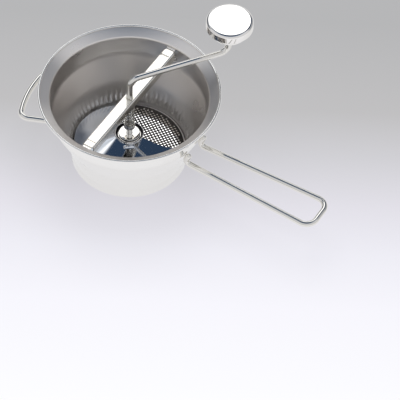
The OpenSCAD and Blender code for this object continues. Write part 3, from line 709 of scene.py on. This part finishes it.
# Cold-rolled strip, buffed along its length: a bright grey with faint long lines.
buffed = finish("buffed_strip", "EDEAE4", 0.16)
uneven(buffed, 50, 0.12, 0.2)
ground(buffed, (1, 0.04, 1), 0.12)
bar.data.materials.append(buffed)
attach(bar, "crossbar")
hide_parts("crossbar_channel")
for name in ("hook_plate", "latch_plate", "bar_rivets"):
    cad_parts[name].material_slots[0].material = buffed


# ---- Crank ----
# One stainless rod, bent twice: the shaft, the arm and the stem that the knob turns on. Two ears crimped in
# the shaft just above the bar keep the rod from dropping through it.
ROD_D = 7.2
ARM_Z = BAR_Z + 29.6
ARM_L = 122
ARM_TURN = math.radians(54.6)
ROD_BEND = 11
TIP_Z, NECK_Z, TIP_R = 9.5, 14.7, 2.8
KNOB_D = 54
KNOB_Z = ARM_Z + 44.4
KNOB_DEPTH = 27
KNOB_X, KNOB_Y = ARM_L * math.cos(ARM_TURN), ARM_L * math.sin(ARM_TURN)
EAR_R, EAR_T, EAR_H, EAR_ROUND = ROD_D / 2 + 2, 2.6, 4, 1.1
STEM_R, STEM_TOP = 3, 170

neck_z = KNOB_Z - KNOB_DEPTH
rod = wire("crank", [(0, 0, NECK_Z + ROD_D / 2), (0, 0, ARM_Z), (KNOB_X, KNOB_Y, ARM_Z),
                     (KNOB_X, KNOB_Y, neck_z - SEAT_GAP - ROD_D / 2)], [ROD_BEND, ROD_BEND], ROD_D)
ears = block((-EAR_T / 2, -EAR_R, BAR_Z + SEAT_GAP), (EAR_T / 2, EAR_R, BAR_Z + SEAT_GAP + EAR_H))
modify(ears, "BEVEL", width=EAR_ROUND * MM, segments=4)
ears.rotation_euler.z = ARM_TURN
bpy.ops.object.transform_apply(rotation=True)
join(rod, ears, drum(TIP_R, TIP_Z, NECK_Z + 2), drum(STEM_R, neck_z - ROD_D, STEM_TOP, (KNOB_X, KNOB_Y)))
smooth(rod, 40)
rod.data.materials.append(bright)
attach(rod, "rotor")
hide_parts("crank_rod")


# ---- Hub ----
# A polished cover hides the pin that drives the blade, with a raised collar round it. Both stand on the
# flange of a sleeve on the shaft.
INNER_RISE = 22
FLANGE_DROP, FLANGE_T = 1.4, 0.9
HUB_Z = SIEVE_Z + INNER_RISE - FLANGE_DROP + FLANGE_T + FIT_GAP
DOME_R, DOME_H, DOME_T, DOME_ROUND = 12.6, 3, 0.8, 0.9
ROD_GAP = 0.1
COLLAR_IN, COLLAR_W, HUB_COLLAR_H = 13.4, 3.4, 3.4
LIP_W, LIP_ROUND = 0.8, 0.38
# The painted shade in the groove starts this far below the top of the lip.
GROOVE_T, SHADE_DROP = 0.4, 0.8

dome_top = HUB_Z + DOME_H
outline = rounded([(DOME_R, HUB_Z), (DOME_R, dome_top), (ROD_D / 2 + ROD_GAP, dome_top)], [(DOME_ROUND, 6)])
dome = lathe("hub_dome_cover", outline, columns=72)
modify(dome, "SOLIDIFY", thickness=DOME_T * MM, offset=-1)
smooth(dome, 50)
# Mirror finish, buffed with a fine paste: no lines and hardly any haze.
mirror = finish("mirror_hub", "EFEDEA", 0.05)
uneven(mirror, 40, 0.03, 0.08)
dome.data.materials.append(mirror)
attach(dome, "rotor")
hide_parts("hub_dome")

lip_in, lip_out = COLLAR_IN + COLLAR_W - LIP_W, COLLAR_IN + COLLAR_W
lip_top, groove_z = HUB_Z + HUB_COLLAR_H, HUB_Z + GROOVE_T
outline = rounded([(COLLAR_IN, HUB_Z), (lip_out, HUB_Z), (lip_out, lip_top), (lip_in, lip_top),
                   (lip_in, groove_z), (COLLAR_IN, groove_z), (COLLAR_IN, HUB_Z)],
                  [(0.1, 1), (LIP_ROUND, 4), (LIP_ROUND, 4), (0.1, 1), (0.1, 1)])
ring = lathe("hub_ring", outline, columns=72, closed=True)
smooth(ring, 50)
# The groove between the dome and the lip is painted dark: painted shade in the recess.
groove_shade = finish("groove_painted_shade", "2A2A2B", 0.3)
uneven(groove_shade, 90, 0.22, 0.4)
ring.data.materials.append(mirror)
ring.data.materials.append(groove_shade)
for face in ring.data.polygons:
    outward = face.center.xy.normalized().dot(face.normal.xy)
    if face.center.z / MM < lip_top - SHADE_DROP and outward < 0.5:
        face.material_index = 1
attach(ring, "rotor")
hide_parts("hub_collar")


# ---- Press blade ----
# A spiral of mirror-polished sheet, pressed so that it climbs from an edge just above the disc to an open
# mouth, with a stiffening bead across it. Its angles are in degrees, from the pressing edge on.
BLADE_T = 1.2
BLADE_STEPS, BLADE_ROWS = 245, 64
BLADE_TURN = 137.6
BLADE_GAP = 3
BLADE_IN = COLLAR_IN + COLLAR_W + SEAT_GAP
BLADE_OUT = radius_at(outside, RIB_Z) - BOWL_T - RIB_OUT - BLADE_GAP
PRESS_GAP = 0.6
OUTER_RISE = 16.5
OUTER_FULL, INNER_FULL = 170, 100
MOUTH_AT, MOUTH_SLANT, SLANT_R, SLANT_CURVE = 231, 10, 35, 1.5
BEAD_W, BEAD_H = 4.4, 1.5
BEAD_LINE = [Vector(p) for p in ((7.5, -20.6), (15.8, -13.8), (34.5, -18.8))]


def blade_span(r):
    """Angle that the blade covers at radius r: its mouth is cut back towards the hub."""
    return MOUTH_AT + MOUTH_SLANT * max(0, (r - SLANT_R) / (BLADE_OUT - SLANT_R)) ** SLANT_CURVE


def off_line(spot, a, b):
    """Distance of a spot from the straight between two points."""
    share = (spot - a).dot(b - a) / (b - a).length_squared
    return (spot - a.lerp(b, max(0, min(1, share)))).length


def bead_rise(x, y):
    """Height of the pressed bead, which runs along the collar and then turns out across the blade."""
    off = min(off_line(Vector((x, y)), a, b) for a, b in zip(BEAD_LINE, BEAD_LINE[1:]))
    return BEAD_H * (1 + math.cos(math.tau * off / BEAD_W)) / 2 if off < BEAD_W / 2 else 0


def blade_height(a, r):
    """Height of the blade's underside above the disc, at angle a from the pressing edge and radius r."""
    outer = PRESS_GAP + OUTER_RISE * math.sin(math.radians(90 * a / OUTER_FULL))
    share = min(a, INNER_FULL) / INNER_FULL
    inner = PRESS_GAP + (INNER_RISE - PRESS_GAP) * math.sin(math.radians(90 * share))
    return inner + (outer - inner) * (r - BLADE_IN) / (BLADE_OUT - BLADE_IN)


bpy.ops.object.select_all(action="DESELECT")
bpy.ops.mesh.primitive_grid_add(x_subdivisions=BLADE_STEPS, y_subdivisions=BLADE_ROWS, size=1)
blade = bpy.context.object
blade.name = "spiral_blade"
for vertex in blade.data.vertices:
    r = BLADE_IN + (vertex.co.y + 0.5) * (BLADE_OUT - BLADE_IN)
    a = (vertex.co.x + 0.5) * blade_span(r)
    x, y = r * math.cos(math.radians(BLADE_TURN + a)), r * math.sin(math.radians(BLADE_TURN + a))
    vertex.co = Vector((x, y, SIEVE_Z + blade_height(a, r) + BLADE_T + bead_rise(x, y))) * MM
bpy.ops.object.mode_set(mode="EDIT")
bpy.ops.mesh.select_all(action="SELECT")
bpy.ops.mesh.normals_make_consistent(inside=False)
bpy.ops.object.mode_set(mode="OBJECT")
if blade.data.polygons[0].normal.z < 0:
    blade.data.flip_normals()
modify(blade, "SOLIDIFY", thickness=BLADE_T * MM, offset=-1)
smooth(blade, 40)
# Sheet polished to a mirror: it shows what stands round it. Its colour has a faint blue cast, a painted
# reflection of the blue above it.
blade_steel = finish("mirror_sheet", "DDE0E4", 0.05)
uneven(blade_steel, 35, 0.03, 0.09)
blade.data.materials.append(blade_steel)
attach(blade, "rotor")
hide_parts("press_blade")


# ---- Springs ----
# A compression spring of hard-drawn wire presses the blade down, and a small one returns the sliding tab.
# Their end turns are closed up.
SPRING_D, SPRING_WIRE, SPRING_TURNS = 12, 1.4, 9
SPRING_LOW, SPRING_TOP = 54.5, 95.4
LATCH_D, LATCH_WIRE, LATCH_TURNS = 4, 0.6, 8
LATCH_NEAR, LATCH_FAR, LATCH_Z = 49.4, 35.8, 94.6
COIL_STEPS = 28
# Share of the wire in each closed end, and how fast that end climbs beside an even coil.
END_SHARE, END_CLIMB = 0.12, 0.45

# Hard-drawn wire, as it leaves the die: a greyer, duller shine than the buffed pieces have.
spring_steel = finish("spring_wire", "B9B6B0", 0.22)
uneven(spring_steel, 90, 0.16, 0.3)


def climb_at(share):
    """How high a coil has climbed after a share of its wire, as a share of its length."""
    end = END_SHARE * END_CLIMB
    if share < END_SHARE:
        return share * END_CLIMB
    if share > 1 - END_SHARE:
        return 1 - (1 - share) * END_CLIMB
    return end + (share - END_SHARE) * (1 - 2 * end) / (1 - 2 * END_SHARE)


def coil(name, start, way, size, wire_size, length, turns):
    """Coil spring from a point along a way, its wire swept along a curve."""
    line = bpy.data.curves.new(name, "CURVE")
    line.dimensions = "3D"
    line.bevel_depth = wire_size / 2 * MM
    line.bevel_resolution = 3
    line.use_fill_caps = True
    path = line.splines.new("POLY")
    path.points.add(turns * COIL_STEPS)
    place = Vector(way).to_track_quat("Z", "Y")
    r = (size - wire_size) / 2
    for i, point in enumerate(path.points):
        turn = math.tau * i / COIL_STEPS
        z = wire_size / 2 + (length - wire_size) * climb_at(i / (turns * COIL_STEPS))
        spot = Vector((r * math.cos(turn), r * math.sin(turn), z))
        point.co = (*((Vector(start) + place @ spot) * MM), 1)
    piece = bpy.data.objects.new(name, line)
    bpy.context.scene.collection.objects.link(piece)
    only(piece)
    bpy.ops.object.convert(target="MESH")
    piece = bpy.context.object
    smooth(piece, 60)
    piece.data.materials.clear()
    piece.data.materials.append(spring_steel)
    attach(piece, "crossbar")
    return piece


spring = coil("pressure_coil", (0, 0, SPRING_LOW), (0, 0, 1), SPRING_D, SPRING_WIRE, SPRING_TOP - SPRING_LOW,
              SPRING_TURNS)
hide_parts("pressure_spring")
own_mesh(spring)

latch = coil("latch_coil", (TAB_X, LATCH_NEAR, LATCH_Z), (0, -1, 0), LATCH_D, LATCH_WIRE,
             LATCH_NEAR - LATCH_FAR, LATCH_TURNS)
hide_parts("latch_spring")
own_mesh(latch)


# ---- Turned and bent small pieces ----
# The washer, the cup, the pins, the sleeve and the knob's clip keep the frame's meshes, and take the bar's
# buffed finish.
for name in ("thrust_washer", "spring_cup", "drive_pins", "hub_sleeve", "knob_clip"):
    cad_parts[name].material_slots[0].material = buffed

# The bush in the bar is turned from brass and nickel-plated: a soft shine, a little warmer than steel.
nickel = finish("nickel_plate", "D6D2C8", 0.18)
uneven(nickel, 80, 0.14, 0.24)
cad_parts["shaft_bush"].material_slots[0].material = nickel


# ---- Knob ----
# Two pressed shells of mirror-polished steel, the cap rolled over the base, that turn on the rod's stem.
CAP_H, CAP_LAP, CAP_ROUND = 7, 3.5, 3.5
KNOB_T = 0.8
NECK_R = STEM_R + 3.6
BELLY_R, BELLY_Z = KNOB_D / 2 * 0.74, KNOB_Z - KNOB_DEPTH * 0.53
EDGE_H = 3

cap = lathe("knob_top", rounded([(KNOB_D / 2, KNOB_Z - CAP_LAP), (KNOB_D / 2, KNOB_Z + CAP_H),
                                 (0, KNOB_Z + CAP_H)], [(CAP_ROUND, 10)]), centre=(KNOB_X, KNOB_Y))
modify(cap, "SOLIDIFY", thickness=KNOB_T * MM, offset=-1)
smooth(cap, 50)
cap.data.materials.append(mirror)
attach(cap, "knob")
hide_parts("knob_cap")

edge_r = KNOB_D / 2 - KNOB_T - SEAT_GAP
under = lathe("knob_underside", rounded([(NECK_R, neck_z), (BELLY_R, BELLY_Z), (edge_r, KNOB_Z - EDGE_H),
                                         (edge_r, KNOB_Z)], [(40, 8), (6, 6)]), centre=(KNOB_X, KNOB_Y))
modify(under, "SOLIDIFY", thickness=KNOB_T * MM, offset=-1)
smooth(under, 50)
under.data.materials.append(mirror)
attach(under, "knob")
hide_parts("knob_base")

# The knob's bush is moulded in black plastic, which leaves it a little dull and grainy.
plastic = finish("moulded_plastic", "1E1E20", 0.4, metallic=0)
uneven(plastic, 60, 0.35, 0.5)
ground(plastic, (1, 1, 1), 0.2)
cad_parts["knob_bush"].material_slots[0].material = plastic
